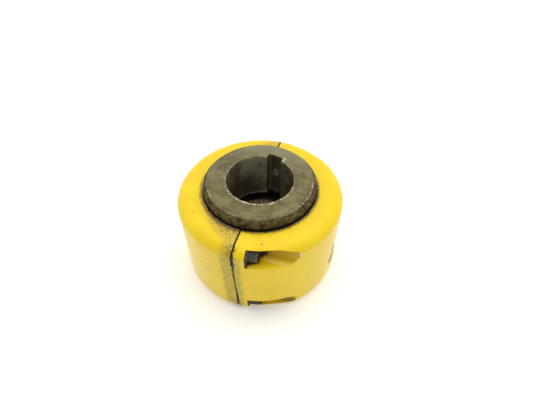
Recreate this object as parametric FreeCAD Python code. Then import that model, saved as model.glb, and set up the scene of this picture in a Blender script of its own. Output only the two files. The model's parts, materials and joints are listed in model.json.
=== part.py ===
"""Jaw coupling: two steel jaw hubs, rubber load cushions and a bolted two-piece cover.

Millimetres. The bores lie along +Z. The origin is the centre of the lower hub's end face.
The cover is split on the plane x = 0, and its screws are driven in along -X. The upper hub
stands out of the cover; the lower hub's end is level with the cover's, but for COVER_LOW.
"""

import FreeCAD
import Part
import math
import os

from FreeCAD import Vector

os.makedirs("parts", exist_ok=True)

IN = 25.4

# Hubs: lengths through the bore, and the gap between their inner faces
UPPER_LENGTH = 1.625 * IN
LOWER_LENGTH = 1.25 * IN
HUB_GAP = 0.5 * IN
LENGTH = LOWER_LENGTH + HUB_GAP + UPPER_LENGTH
UPPER_FACE = LENGTH - UPPER_LENGTH
GAP_MIDDLE = LOWER_LENGTH + HUB_GAP / 2
HUB_R = 3.375 * IN / 2
HUB_RIM_CHAMFER = 3.0
BORE_R = 2.0 * IN / 2
BORE_CHAMFER = 0.6
KEY_WIDTH = 0.5 * IN
KEY_FLOOR = 29.36
KEY_AZIMUTH = 8.75
FLANGE_R = 55.5
FLANGE_THICKNESS = 13.0
FLANGE_CHAMFER = 1.0
HUB_NECK_FILLET = 1.6

# Jaws: each hub's jaws stand between the other's
JAWS = 4
JAW_ANGLE = 21.0
JAW_INNER_R = 33.6
JAW_TIP_GAP = 1.2
JAW_PITCH = 360.0 / (2 * JAWS)
JAW_EDGE = 1.0

# Load cushions: close to the lower hub's jaws, further from the upper hub's
CUSHION_INNER_R = 34.4
CUSHION_OUTER_R = 55.0
CUSHION_FACE_GAP = 0.35
CUSHION_LOWER_GAP_ANGLE = 0.5
CUSHION_UPPER_GAP_ANGLE = 1.3
CUSHION_EDGE = 1.5

# Set screws, radial, over the keyways
SET_SCREW_R = 5 / 16 * IN / 2
SET_SCREW_LENGTH = 3 / 8 * IN
SET_SCREW_DEPTH = 18.2
LOWER_SET_SCREW_DEPTH = 9.5
SET_SCREW_INNER = 29.8
SET_SCREW_CLEARANCE = 0.08
SET_SCREW_HEX = 5 / 32 * IN
SET_SCREW_HEX_DEPTH = 4.0
SET_SCREW_CUP_R = 2.6
SET_SCREW_CUP_DEPTH = 1.4
SET_SCREW_CHAMFER = 0.9

# Cover
COVER_LENGTH = 3.0 * IN
COVER_R = 64.1
COVER_LOW = 0.4
COVER_HIGH = COVER_LOW + COVER_LENGTH
COVER_MIDDLE = COVER_LOW + COVER_LENGTH / 2
SHOULDER_RADIAL = 9.7
SHOULDER_AXIAL = 6.1
SHOULDER_RADIUS = (SHOULDER_RADIAL**2 + SHOULDER_AXIAL**2) / (2 * SHOULDER_AXIAL)
END_HOLE_R = HUB_R + 0.4
END_HOLE_CHAMFER = 0.6
CAVITY_R = 56.5
CAVITY_LENGTH = 40.6
SEAM_GAP = 1.0

# Round blank label recess on the half with the pockets, centred below the cover's middle
LABEL_R = 17.0
LABEL_DEPTH = 1.2
LABEL_Z = 30.0

# Cap screws, one pair at each seam
CAP_THREAD_R = 5 / 16 * IN / 2
CAP_LENGTH = 1.0 * IN
CAP_HEAD_R = 11.9 / 2
CAP_HEAD_LENGTH = 5 / 16 * IN
CAP_HEX = 1 / 4 * IN
CAP_HEX_DEPTH = 4.2
CAP_HEAD_CHAMFER = 0.6
CAP_TIP_CHAMFER = 1.0
CAP_SEAT_X = 9.0
CAP_Y = 54.4
CAP_INSET = 8.5
CAP_SEAT_GAP = 0.05
CLEARANCE_HOLE_R = 4.35
TAPPED_CLEARANCE = 0.07
TAPPED_DEPTH = 20.0
POCKET_HALF_WIDTH = 7.3

X_AXIS = Vector(1, 0, 0)
Z_AXIS = Vector(0, 0, 1)
ORIGIN = Vector(0, 0, 0)
TINY = 1e-3
REACH = 2 * COVER_R


def save(name, shape):
    """Writes one closed solid to parts/NAME.step and prints its size."""
    solids = shape.Solids
    if len(solids) != 1 or not solids[0].isValid():
        raise ValueError(f"{name}: {len(solids)} solids")
    solids[0].exportStep(f"parts/{name}.step")
    print(f"{name:24s} volume {solids[0].Volume:10.1f} mm3")


def profile_edges(points):
    """Straight edges joining (r, z) points of a profile in the XZ plane."""
    corners = [Vector(r, 0, z) for r, z in points]
    return [Part.LineSegment(a, b).toShape() for a, b in zip(corners, corners[1:])]


def revolved(edges):
    """Solid swept by a closed profile in the XZ plane round the Z axis."""
    face = Part.Face(Part.Wire(edges))
    return face.revolve(ORIGIN, Z_AXIS, 360)


def revolved_points(points):
    """Solid of revolution from a closed run of (r, z) points."""
    return revolved(profile_edges(points + points[:1]))


def at(radius, angle, z):
    """Point at an azimuth, in degrees anticlockwise from +X."""
    turn = math.radians(angle)
    return Vector(radius * math.cos(turn), radius * math.sin(turn), z)


def sector(inner_r, outer_r, start, end, low, high):
    """Piece of a thick ring between two azimuths."""
    middle = (start + end) / 2
    edges = [
        Part.Arc(at(inner_r, start, low), at(inner_r, middle, low), at(inner_r, end, low)).toShape(),
        Part.LineSegment(at(inner_r, end, low), at(outer_r, end, low)).toShape(),
        Part.Arc(at(outer_r, end, low), at(outer_r, middle, low), at(outer_r, start, low)).toShape(),
        Part.LineSegment(at(outer_r, start, low), at(inner_r, start, low)).toShape(),
    ]
    return Part.Face(Part.Wire(edges)).extrude(Vector(0, 0, high - low))


def chamfered(shape, size, wanted):
    """Chamfers the edges that the test picks out."""
    return shape.makeChamfer(size, [e for e in shape.Edges if wanted(e)])


def is_level_line(edge):
    """True for a straight edge that lies level."""
    return edge.BoundBox.ZLength < TINY and edge.Curve.TypeId == "Part::GeomLine"


def hexagon(across_flats, depth, base, axis):
    """Hexagonal prism that starts at base and runs along axis."""
    corner_r = across_flats / math.sqrt(3)
    corners = []
    for i in range(7):
        angle = math.radians(60 * i)
        corners.append(Vector(corner_r * math.cos(angle), corner_r * math.sin(angle), 0))
    prism = Part.Face(Part.makePolygon(corners)).extrude(Vector(0, 0, depth))
    prism.Placement = FreeCAD.Placement(base, FreeCAD.Rotation(Z_AXIS, axis))
    return prism


def screw_body(points, axis, base):
    """Solid of revolution placed so that its own Z runs along axis from base."""
    body = revolved_points(points)
    body.Placement = FreeCAD.Placement(base, FreeCAD.Rotation(Z_AXIS, axis))
    return body


# The key direction is KEY_AZIMUTH from +Y towards +X; azimuths below are anticlockwise from +X.
KEY_ANGLE = 90 - KEY_AZIMUTH
KEY_DIRECTION = Vector(math.cos(math.radians(KEY_ANGLE)), math.sin(math.radians(KEY_ANGLE)), 0)
ACROSS_KEY = Vector(-KEY_DIRECTION.y, KEY_DIRECTION.x, 0)


def turned_over(shape):
    """The piece on the other side of the gap: half a turn about the line across the key."""
    other = shape.copy()
    other.rotate(Vector(0, 0, GAP_MIDDLE), ACROSS_KEY, 180)
    return other


def make_hub(length, set_screw_depth):
    """Upper hub of a given length: barrel, flange and jaws, with bore, keyway and set-screw hole."""
    face = UPPER_FACE
    top = face + length
    shoulder = face + FLANGE_THICKNESS
    neck = HUB_NECK_FILLET
    arc_middle = neck * (1 - math.sqrt(0.5))
    edges = profile_edges(
        [
            (0, face),
            (FLANGE_R, face),
            (FLANGE_R, shoulder - FLANGE_CHAMFER),
            (FLANGE_R - FLANGE_CHAMFER, shoulder),
            (HUB_R + neck, shoulder),
        ]
    )
    fillet = Part.Arc(
        Vector(HUB_R + neck, 0, shoulder),
        Vector(HUB_R + arc_middle, 0, shoulder + arc_middle),
        Vector(HUB_R, 0, shoulder + neck),
    )
    edges.append(fillet.toShape())
    edges += profile_edges(
        [
            (HUB_R, shoulder + neck),
            (HUB_R, top - HUB_RIM_CHAMFER),
            (HUB_R - HUB_RIM_CHAMFER, top),
            (0, top),
            (0, face),
        ]
    )
    hub = revolved(edges)
    jaw_low = LOWER_LENGTH + JAW_TIP_GAP
    for i in range(JAWS):
        start = KEY_ANGLE + JAW_PITCH / 2 + 2 * JAW_PITCH * i - JAW_ANGLE / 2
        jaw = sector(JAW_INNER_R, FLANGE_R, start, start + JAW_ANGLE, jaw_low, face + 1)
        jaw = chamfered(jaw, JAW_EDGE, lambda e: e.BoundBox.ZMax < jaw_low + TINY)
        hub = hub.fuse(jaw)
    bore = revolved_points(
        [
            (0, face - 1),
            (BORE_R + BORE_CHAMFER + 1, face - 1),
            (BORE_R, face + BORE_CHAMFER),
            (BORE_R, top - BORE_CHAMFER),
            (BORE_R + BORE_CHAMFER + 1, top + 1),
            (0, top + 1),
        ]
    )
    hub = hub.cut(bore)
    keyway = Part.makeBox(KEY_FLOOR, KEY_WIDTH, length + 2, Vector(0, -KEY_WIDTH / 2, face - 1))
    keyway.rotate(ORIGIN, Z_AXIS, KEY_ANGLE)
    hub = hub.cut(keyway)
    hole_r = SET_SCREW_R + SET_SCREW_CLEARANCE
    hole_base = KEY_DIRECTION * BORE_R + Vector(0, 0, top - set_screw_depth)
    hub = hub.cut(Part.makeCylinder(hole_r, HUB_R, hole_base, KEY_DIRECTION))
    return hub.removeSplitter()


def make_set_screw(z):
    """Headless screw over the upper hub's keyway: cup point inside, hexagon socket outside."""
    length = SET_SCREW_LENGTH
    edge = SET_SCREW_CHAMFER
    base = KEY_DIRECTION * SET_SCREW_INNER + Vector(0, 0, z)
    screw = screw_body(
        [
            (0, SET_SCREW_CUP_DEPTH),
            (SET_SCREW_CUP_R, 0),
            (SET_SCREW_R - edge, 0),
            (SET_SCREW_R, edge),
            (SET_SCREW_R, length - edge),
            (SET_SCREW_R - edge, length),
            (0, length),
        ],
        KEY_DIRECTION,
        base,
    )
    socket_base = base + KEY_DIRECTION * (length - SET_SCREW_HEX_DEPTH)
    return screw.cut(hexagon(SET_SCREW_HEX, SET_SCREW_HEX_DEPTH + 1, socket_base, KEY_DIRECTION))


def make_cushion(index):
    """Rubber block between one upper and one lower jaw; even ones have the upper jaw after them."""
    centre = KEY_ANGLE + JAW_PITCH * index
    half = (JAW_PITCH - JAW_ANGLE) / 2
    before, after = CUSHION_LOWER_GAP_ANGLE, CUSHION_UPPER_GAP_ANGLE
    if index % 2:
        before, after = after, before
    low = LOWER_LENGTH + CUSHION_FACE_GAP
    high = UPPER_FACE - CUSHION_FACE_GAP
    block = sector(CUSHION_INNER_R, CUSHION_OUTER_R, centre - half + before, centre + half - after, low, high)
    return chamfered(block, CUSHION_EDGE, is_level_line)


def shoulder_arc(corner_z, end_z):
    """Arc from the cover's cylinder, which it meets at an angle, to its end face, where it is tangent."""
    flat_r = COVER_R - SHOULDER_RADIAL
    inward = -1 if end_z > corner_z else 1
    centre = Vector(flat_r, 0, end_z + inward * SHOULDER_RADIUS)
    halfway = Vector(COVER_R, 0, corner_z) - centre + Vector(0, 0, -inward * SHOULDER_RADIUS)
    middle = centre + halfway.normalize() * SHOULDER_RADIUS
    return Part.Arc(Vector(COVER_R, 0, corner_z), middle, Vector(flat_r, 0, end_z)).toShape()


def make_cover_ring():
    """The whole cover before it is split: shell with thick, holed end walls."""
    flat_r = COVER_R - SHOULDER_RADIAL
    cavity_low = COVER_MIDDLE - CAVITY_LENGTH / 2
    cavity_high = COVER_MIDDLE + CAVITY_LENGTH / 2
    high_corner = COVER_HIGH - SHOULDER_AXIAL
    low_corner = COVER_LOW + SHOULDER_AXIAL
    mouth_r = END_HOLE_R + END_HOLE_CHAMFER
    edges = [shoulder_arc(high_corner, COVER_HIGH), shoulder_arc(low_corner, COVER_LOW)]
    edges += profile_edges([(COVER_R, high_corner), (COVER_R, low_corner)])
    edges += profile_edges(
        [
            (flat_r, COVER_LOW),
            (mouth_r, COVER_LOW),
            (END_HOLE_R, COVER_LOW + END_HOLE_CHAMFER),
            (END_HOLE_R, cavity_low),
            (CAVITY_R, cavity_low),
            (CAVITY_R, cavity_high),
            (END_HOLE_R, cavity_high),
            (END_HOLE_R, COVER_HIGH - END_HOLE_CHAMFER),
            (mouth_r, COVER_HIGH),
            (flat_r, COVER_HIGH),
        ]
    )
    return revolved(Part.__sortEdges__(edges))


def half_of(ring, side):
    """Keeps the side of the ring beyond half the seam gap; side is 1 for +X and -1 for -X."""
    corner = Vector(SEAM_GAP / 2 if side > 0 else -SEAM_GAP / 2 - REACH, -REACH, -1)
    return ring.common(Part.makeBox(REACH, 2 * REACH, LENGTH + 2, corner))


SCREW_PLACES = {
    "front_upper": (-CAP_Y, COVER_HIGH - CAP_INSET),
    "front_lower": (-CAP_Y, COVER_LOW + CAP_INSET),
    "back_upper": (CAP_Y, COVER_HIGH - CAP_INSET),
    "back_lower": (CAP_Y, COVER_LOW + CAP_INSET),
}


def pocket(y, z):
    """Slot along X from the screw seat outward, with a round inner end and an open outer side."""
    outward = REACH if y > 0 else -REACH
    round_end = Part.makeCylinder(POCKET_HALF_WIDTH, REACH, Vector(CAP_SEAT_X, y, z), X_AXIS)
    corner = Vector(CAP_SEAT_X, min(y, y + outward), z - POCKET_HALF_WIDTH)
    return round_end.fuse(Part.makeBox(REACH, REACH, 2 * POCKET_HALF_WIDTH, corner))


def make_pocket_half(ring):
    """+X half: four screw pockets, clearance holes and the blank label recess."""
    half = half_of(ring, 1)
    for y, z in SCREW_PLACES.values():
        half = half.cut(pocket(y, z))
        half = half.cut(Part.makeCylinder(CLEARANCE_HOLE_R, CAP_SEAT_X + 1, Vector(0, y, z), X_AXIS))
    recess = Part.makeCylinder(LABEL_R, COVER_R, Vector(COVER_R / 2, 0, LABEL_Z), X_AXIS)
    recess = recess.cut(Part.makeCylinder(COVER_R - LABEL_DEPTH, LENGTH))
    return half.cut(recess)


def make_tapped_half(ring):
    """-X half: four blind tapped holes that open on the seam."""
    half = half_of(ring, -1)
    hole_r = CAP_THREAD_R + TAPPED_CLEARANCE
    for y, z in SCREW_PLACES.values():
        half = half.cut(Part.makeCylinder(hole_r, TAPPED_DEPTH, Vector(-TAPPED_DEPTH, y, z), X_AXIS))
    return half


def make_cap_screw(y, z):
    """Socket head cap screw with its head on the pocket's seat and its thread across the seam."""
    base = Vector(CAP_SEAT_X + CAP_SEAT_GAP - CAP_LENGTH, y, z)
    top = CAP_LENGTH + CAP_HEAD_LENGTH
    screw = screw_body(
        [
            (0, 0),
            (CAP_THREAD_R - CAP_TIP_CHAMFER, 0),
            (CAP_THREAD_R, CAP_TIP_CHAMFER),
            (CAP_THREAD_R, CAP_LENGTH),
            (CAP_HEAD_R, CAP_LENGTH),
            (CAP_HEAD_R, top - CAP_HEAD_CHAMFER),
            (CAP_HEAD_R - CAP_HEAD_CHAMFER, top),
            (0, top),
        ],
        X_AXIS,
        base,
    )
    socket_base = base + X_AXIS * (top - CAP_HEX_DEPTH)
    return screw.cut(hexagon(CAP_HEX, CAP_HEX_DEPTH + 1, socket_base, X_AXIS))


save("hub_upper", make_hub(UPPER_LENGTH, SET_SCREW_DEPTH))
save("hub_lower", turned_over(make_hub(LOWER_LENGTH, LOWER_SET_SCREW_DEPTH)))

save("set_screw_upper", make_set_screw(LENGTH - SET_SCREW_DEPTH))
lower_hub_top_before_turning = UPPER_FACE + LOWER_LENGTH
save("set_screw_lower", turned_over(make_set_screw(lower_hub_top_before_turning - LOWER_SET_SCREW_DEPTH)))

for number in range(2 * JAWS):
    save(f"load_cushion_{number + 1}", make_cushion(number))

cover_ring = make_cover_ring()
save("cover_half_pocketed", make_pocket_half(cover_ring))
save("cover_half_tapped", make_tapped_half(cover_ring))

for place, (screw_y, screw_z) in SCREW_PLACES.items():
    save(f"cap_screw_{place}", make_cap_screw(screw_y, screw_z))
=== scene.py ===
"""Looks for the jaw coupling: worn steel hubs, painted cover halves, screws and rubber cushions.

Shapes are worked out in millimetres in the row frame and turned into metres as each mesh is made.
"""

import json
import math

import bmesh
import bpy
from mathutils import Matrix, Vector, noise


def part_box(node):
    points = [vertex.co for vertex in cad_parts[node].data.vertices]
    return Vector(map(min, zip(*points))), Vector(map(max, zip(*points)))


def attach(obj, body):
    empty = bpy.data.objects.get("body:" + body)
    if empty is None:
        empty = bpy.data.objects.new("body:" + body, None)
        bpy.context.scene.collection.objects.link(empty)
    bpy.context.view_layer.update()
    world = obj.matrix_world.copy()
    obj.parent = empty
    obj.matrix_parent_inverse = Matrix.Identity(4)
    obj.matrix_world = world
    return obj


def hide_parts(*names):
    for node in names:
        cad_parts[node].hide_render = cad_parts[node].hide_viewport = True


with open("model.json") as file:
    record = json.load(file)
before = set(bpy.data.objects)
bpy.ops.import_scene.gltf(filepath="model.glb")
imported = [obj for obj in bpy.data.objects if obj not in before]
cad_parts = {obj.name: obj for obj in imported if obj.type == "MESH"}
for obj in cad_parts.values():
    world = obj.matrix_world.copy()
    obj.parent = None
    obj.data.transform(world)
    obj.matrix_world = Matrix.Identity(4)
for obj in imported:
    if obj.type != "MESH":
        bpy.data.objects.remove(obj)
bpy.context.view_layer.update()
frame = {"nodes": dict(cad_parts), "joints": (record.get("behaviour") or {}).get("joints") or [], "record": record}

MM = 0.001
TAU = 2 * math.pi


def box_mm(node):
    """Lowest and highest corner of a CAD node, in millimetres."""
    low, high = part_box(node)
    return low / MM, high / MM


MOUNTS = {m["name"]: m for m in frame["record"]["mounts"]}
JOINTS = {j["name"]: j for j in frame["joints"]}

# Read from the frame
BORE_R = MOUNTS["bore_upper"]["dims"]["r_mm"]
UPPER_LENGTH = MOUNTS["bore_upper"]["dims"]["length_mm"]
LOWER_LENGTH = MOUNTS["bore_lower"]["dims"]["length_mm"]
UPPER_LOW, UPPER_HIGH = box_mm("hub_upper")
COVER_LOW, COVER_HIGH = box_mm("cover_half_tapped")
COVER_R = -COVER_LOW.x
COVER_MIDDLE = (COVER_LOW.z + COVER_HIGH.z) / 2
COVER_HALF = (COVER_HIGH.z - COVER_LOW.z) / 2
SEAM_X = -COVER_HIGH.x
TOP_Z = UPPER_HIGH.z
GAP_MIDDLE = (TOP_Z - UPPER_LENGTH + LOWER_LENGTH) / 2
FACE_Z = TOP_Z - UPPER_LENGTH
KEY_X, KEY_Y = JOINTS["set_screw_lower_travel"]["axis"][:2]
KEY_ANGLE = math.atan2(KEY_Y, KEY_X)

# Hub details
HUB_R = 42.8625
HUB_RIM = 3.0
FLANGE_R = 55.5
FLANGE_THICKNESS = 13.0
FLANGE_FILLET = 1.6
KEY_HALF_WIDTH = 6.35
KEY_FLOOR = 29.36
KEY_CORNER = 28.0
JAWS = 4
JAW_ANGLE = math.radians(21.0)
JAW_PITCH = TAU / (2 * JAWS)
JAW_INNER_R = 33.6
JAW_LENGTH = FACE_Z - UPPER_LOW.z

# Cover details
SHOULDER_RADIAL = 9.7
SHOULDER_AXIAL = 6.1
SHOULDER_R = (SHOULDER_RADIAL**2 + SHOULDER_AXIAL**2) / (2 * SHOULDER_AXIAL)
END_HOLE_R = HUB_R + 0.4
CAVITY_R = 56.5
CAVITY_HALF = 20.3
POCKET_R = 7.3
CLEARANCE_HOLE_R = 4.35
TAPPED_DEPTH = 20.0
LABEL_R = 17.0
LABEL_DEPTH = 1.2
LABEL_Z = 30.0
SEAM_DRIFT = 1.4
DRIFT_START = 60.0
DRIFT_END = 4.0
SEAM_REACH = 6.5
COVER_EDGE = 0.35
TAPPED_GAP = 0.07

# Screw details
CAP_HEAD_LENGTH = 7.94
CAP_THREAD_R = 3.97
THREAD_PITCH = 25.4 / 18
THREAD_DEPTH = 0.62
CAP_HEX = 6.35
SET_HEX = 3.97
CAP_SOCKET_DEPTH = 4.2
SET_SCREW_LENGTH = 9.525
SET_SCREW_POINT = 29.8
SET_SOCKET_DEPTH = 3.9
SET_HOLE_GAP = 0.08
KNURLS = 40
CAP_PLACES = ("front_upper", "front_lower", "back_upper", "back_lower")
SET_SCREW_DEPTH = {"upper": 18.2, "lower": 9.5}

# Name, length, height of the outer end, side (1 faces up) and seed of the dents
HUBS = (("upper", UPPER_LENGTH, TOP_Z, 1, 4.0), ("lower", LOWER_LENGTH, 0.0, -1, 11.0))

# Cushion details
CUSHION_EDGE = 2.0
CUSHION_CROWN = 0.03
CUSHION_MIDDLE_R = 45

# Fineness of the meshes
ROUND = 48
HEAD_ROUND = 120
COVER_COLUMNS = 200
LABEL_ROUND = 96
CUSHION_STEPS = 14
CREASE = math.radians(32)
WELD_SHARE = 0.15
WELD_MM = 0.01


# ---------------------------------------------------------------- meshes


def add_object(name, points, faces):
    """Object from points in millimetres; finish_piece turns them into metres."""
    mesh = bpy.data.meshes.new(name)
    mesh.from_pydata([Vector(p) for p in points], [], faces)
    mesh.validate()
    made = bpy.data.objects.new(name, mesh)
    bpy.context.scene.collection.objects.link(made)
    return made


def edit_mesh(piece, change):
    """Runs change(bmesh) on a piece's mesh."""
    work = bmesh.new()
    work.from_mesh(piece.data)
    change(work)
    work.to_mesh(piece.data)
    work.free()
    return piece


def face_outward(piece):
    """Makes all of a closed mesh's faces look outward."""
    return edit_mesh(piece, lambda work: bmesh.ops.recalc_face_normals(work, faces=work.faces))


def skin(name, loops, ring=False):
    """Closed surface through loops of equal length; ring joins the last loop to the first."""
    count = len(loops[0])
    points = [p for loop in loops for p in loop]
    faces = []
    pairs = list(zip(range(len(loops)), range(1, len(loops))))
    if ring:
        pairs.append((len(loops) - 1, 0))
    for a, b in pairs:
        for i in range(count):
            j = (i + 1) % count
            faces.append((a * count + i, a * count + j, b * count + j, b * count + i))
    if not ring:
        faces.append(tuple(reversed(range(count))))
        faces.append(tuple(range((len(loops) - 1) * count, len(loops) * count)))
    return face_outward(add_object(name, points, faces))


def bake_modifiers(piece):
    """Replaces the mesh by the one that its modifiers give."""
    graph = bpy.context.evaluated_depsgraph_get()
    mesh = bpy.data.meshes.new_from_object(piece.evaluated_get(graph))
    piece.modifiers.clear()
    piece.data = mesh


def combine(target, others, operation):
    """Boolean of the target with each other solid; the others are used up."""
    for other in others:
        modifier = target.modifiers.new("combine", "BOOLEAN")
        modifier.operation = operation
        modifier.solver = "EXACT"
        modifier.object = other
        bake_modifiers(target)
        bpy.data.objects.remove(other)
    return target


def joined(pieces):
    """One object from several separate solids."""
    work = bmesh.new()
    for piece in pieces:
        work.from_mesh(piece.data)
    mesh = bpy.data.meshes.new(pieces[0].name)
    work.to_mesh(mesh)
    work.free()
    for piece in pieces[1:]:
        bpy.data.objects.remove(piece)
    pieces[0].data = mesh
    return pieces[0]


def weld(piece, distance):
    """Merges points closer than a distance in millimetres."""
    return edit_mesh(piece, lambda work: bmesh.ops.remove_doubles(work, verts=work.verts, dist=distance))


def soften_edges(piece, width, angle):
    """Rounds the edges sharper than an angle in degrees."""
    weld(piece, width * WELD_SHARE)
    bevel = piece.modifiers.new("soften", "BEVEL")
    bevel.limit_method = "ANGLE"
    bevel.angle_limit = math.radians(angle)
    bevel.width = width
    bevel.segments = 2
    bevel.use_clamp_overlap = False
    bake_modifiers(piece)
    weld(piece, WELD_MM)


def move_points(piece, shift):
    """Adds shift(point) to every point."""
    for vertex in piece.data.vertices:
        vertex.co += shift(vertex.co)
    piece.data.update()


def finish_piece(piece, material, body, node):
    """Metres, smooth shading with crisp creases, material and body; hides the CAD node it stands for."""
    piece.data.transform(Matrix.Scale(MM, 4))
    piece.data.materials.clear()
    piece.data.materials.append(material)
    piece.data.shade_smooth()
    piece.data.set_sharp_from_angle(angle=CREASE)
    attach(piece, body)
    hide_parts(node)


def smooth_step(value, low, high):
    """0 below low, 1 above high, smooth between."""
    share = min(1.0, max(0.0, (value - low) / (high - low)))
    return share * share * (3 - 2 * share)


def rough(x, y, z, size, seed=0.0):
    """Smooth noise from -1 to 1 with features of a size in millimetres."""
    return noise.noise(Vector((x / size + seed, y / size - seed, z / size + 2 * seed)))


def spaced(start, end, count):
    """Evenly spaced values, both ends included."""
    return [start + (end - start) * i / (count - 1) for i in range(count)]


def turns(count):
    """Evenly spaced angles once round a circle."""
    return [TAU * i / count for i in range(count)]


def polar(radius, angle, z):
    """Point at a radius and an angle round +Z."""
    return (radius * math.cos(angle), radius * math.sin(angle), z)


# ---------------------------------------------------------------- hubs


def key_angles():
    """Azimuths from the key direction, close together round the keyway."""
    near = [math.radians(0.4 * i) for i in range(-42, 43)]
    far_start = near[-1]
    far = spaced(far_start, TAU - far_start, 330)[1:-1]
    return near + far


def key_radius(angle, offset):
    """Distance from the axis to the wall of bore and keyway, widened by an offset."""
    radius = BORE_R + offset
    across = abs(math.sin(angle))
    along = math.cos(angle)
    if along < 0.5:
        return radius
    sharpness = 60
    floor = (KEY_FLOOR + offset) / along
    wall = (KEY_HALF_WIDTH + offset) / max(across, 1e-6)
    slot = (floor ** -sharpness + wall ** -sharpness) ** (-1 / sharpness)
    return max(radius, slot)


def nick(angle, seed, depth):
    """Depth of dents along a rim: mostly none, sometimes deep."""
    x, y = 9 * math.cos(angle), 9 * math.sin(angle)
    coarse = noise.noise(Vector((x, y, seed)))
    fine = noise.noise(Vector((3.1 * x, 3.1 * y, seed + 7)))
    return depth * max(0.0, 0.75 * coarse + 0.5 * fine + 0.05)


def hub_loops(length, seed):
    """Loops of an upper hub without jaws, from the bore's inner end round to the inner face."""
    angles = key_angles()
    shoulder = FACE_Z + FLANGE_THICKNESS
    top = FACE_Z + length

    def at(radius, angle, z):
        return polar(radius, angle + KEY_ANGLE, z)

    def bore_loop(offset, z, wear=0.0):
        loop = []
        for a in angles:
            dent = nick(a, seed, wear)
            loop.append(at(key_radius(a, offset + dent), a, z - 0.8 * dent))
        return loop

    def circle(radius, z, wear=0.0, ring=1.7):
        loop = []
        for a in angles:
            dent = nick(a, seed + ring, wear)
            loop.append(at(radius - 0.7 * dent, a, z - 0.5 * dent))
        return loop

    def between(share, offset, radius, z):
        return [at(key_radius(a, offset) * (1 - share) + radius * share, a, z) for a in angles]

    loops = [bore_loop(0.9, FACE_Z), bore_loop(0.4, FACE_Z + 0.15), bore_loop(0.1, FACE_Z + 0.5)]
    loops += [bore_loop(0.0, z) for z in spaced(FACE_Z + 1.0, top - 0.8, 16)]
    mouth = ((0.06, 0.42, 0.5), (0.22, 0.16, 0.85), (0.5, 0.0, 1.0), (1.0, 0.0, 0.8))
    loops += [bore_loop(offset, top - drop, wear) for offset, drop, wear in mouth]
    rim = HUB_R - HUB_RIM
    loops += [between(s, 2.2, rim - 0.7, top) for s in (0.0, 0.15, 0.35, 0.6, 0.85, 1.0)]
    knocked = ((-0.25, 0.0, 0.2), (0.0, 0.08, 0.35), (0.22, 0.28, 0.35))
    loops += [circle(rim + out, top - drop, wear) for out, drop, wear in knocked]
    loops += [circle(rim + s * HUB_RIM, top - s * HUB_RIM) for s in (0.15, 0.3, 0.5, 0.7, 0.86)]
    loops += [circle(HUB_R - 0.1, top - HUB_RIM + 0.1, 0.15, 3.1), circle(HUB_R, top - HUB_RIM - 0.3)]
    loops += [circle(HUB_R, z) for z in spaced(top - HUB_RIM - 1.5, shoulder + 1.8, 8)]
    for turn in spaced(0, math.pi / 2, 5):
        out, up = 1 - math.cos(turn), 1 - math.sin(turn)
        loops.append(circle(HUB_R + FLANGE_FILLET * out, shoulder + FLANGE_FILLET * up))
    loops += [circle(r, shoulder) for r in spaced(HUB_R + 3, FLANGE_R - 1, 4)]
    loops += [circle(FLANGE_R - 0.3, shoulder - 0.7), circle(FLANGE_R, shoulder - 1)]
    loops += [circle(FLANGE_R, z) for z in spaced(shoulder - 3, FACE_Z + 0.6, 5)]
    loops += [circle(FLANGE_R - 0.18, FACE_Z + 0.18), circle(FLANGE_R - 0.6, FACE_Z)]
    loops += [between(s, 1.6, FLANGE_R - 2, FACE_Z) for s in (1.0, 0.8, 0.6, 0.4, 0.2, 0.0)]
    return loops


def jaw(centre):
    """One jaw under the flange: a sector with rounded tip edges."""
    tip = FACE_Z - JAW_LENGTH

    def outline(inset, z):
        inner_r, outer_r = JAW_INNER_R + inset, FLANGE_R - inset
        inner, outer = JAW_ANGLE / 2 - inset / inner_r, JAW_ANGLE / 2 - inset / outer_r
        shares = spaced(0, 1, 8)[1:-1]
        sides = [(inner_r + (outer_r - inner_r) * s, inner + (outer - inner) * s) for s in shares]
        ring = [(inner_r, a) for a in spaced(-inner, inner, 8)] + sides
        ring += [(outer_r, a) for a in spaced(outer, -outer, 12)]
        ring += [(r, -a) for r, a in reversed(sides)]
        return [polar(r, centre + a, z) for r, a in ring]

    loops = [outline(inset, tip + up) for inset, up in ((1.0, 0), (0.45, 0.12), (0.12, 0.45), (0.0, 1.0))]
    loops += [outline(0.0, z) for z in spaced(tip + 3, FACE_Z + 2, 4)]
    return skin("jaw", loops)


def turned_over(piece):
    """Moves an upper-hub piece to the lower hub: half a turn about the line across the key."""
    across = Vector((-math.sin(KEY_ANGLE), math.cos(KEY_ANGLE), 0))
    centre = Vector((0, 0, GAP_MIDDLE))
    turn = Matrix.Rotation(math.pi, 4, across)
    piece.data.transform(Matrix.Translation(centre) @ turn @ Matrix.Translation(-centre))
    return piece


def along_key(piece, z, distance):
    """Lays a piece built along +Z so that it points outward along the key direction."""
    outward = Matrix.Rotation(KEY_ANGLE, 4, "Z") @ Matrix.Rotation(math.pi / 2, 4, "Y")
    place = Matrix.Translation(Vector(polar(distance, KEY_ANGLE, z)))
    piece.data.transform(place @ outward)
    return piece


def threaded(radius_out, radius_in, start, end, fade_length=1.0, segments=ROUND):
    """Loops of a screw thread along +Z between two heights, fading out at both ends."""
    loops = []
    count = max(2, int((end - start) / THREAD_PITCH * 8))
    for z in spaced(start, end, count):
        fade = min(smooth_step(z, start, start + fade_length), smooth_step(-z, -end, -end + fade_length))
        loop = []
        for i, angle in enumerate(turns(segments)):
            wave = abs(2 * ((z / THREAD_PITCH - i / segments) % 1.0) - 1)
            ridge = min(1.0, max(0.0, 1.25 * wave - 0.1))
            loop.append(polar(radius_out - (radius_out - radius_in) * ridge * fade, angle, z))
        loops.append(loop)
    return loops


def ring_at(radius, z, segments=ROUND):
    """Plain circle of points round +Z."""
    return [polar(radius, a, z) for a in turns(segments)]


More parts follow.
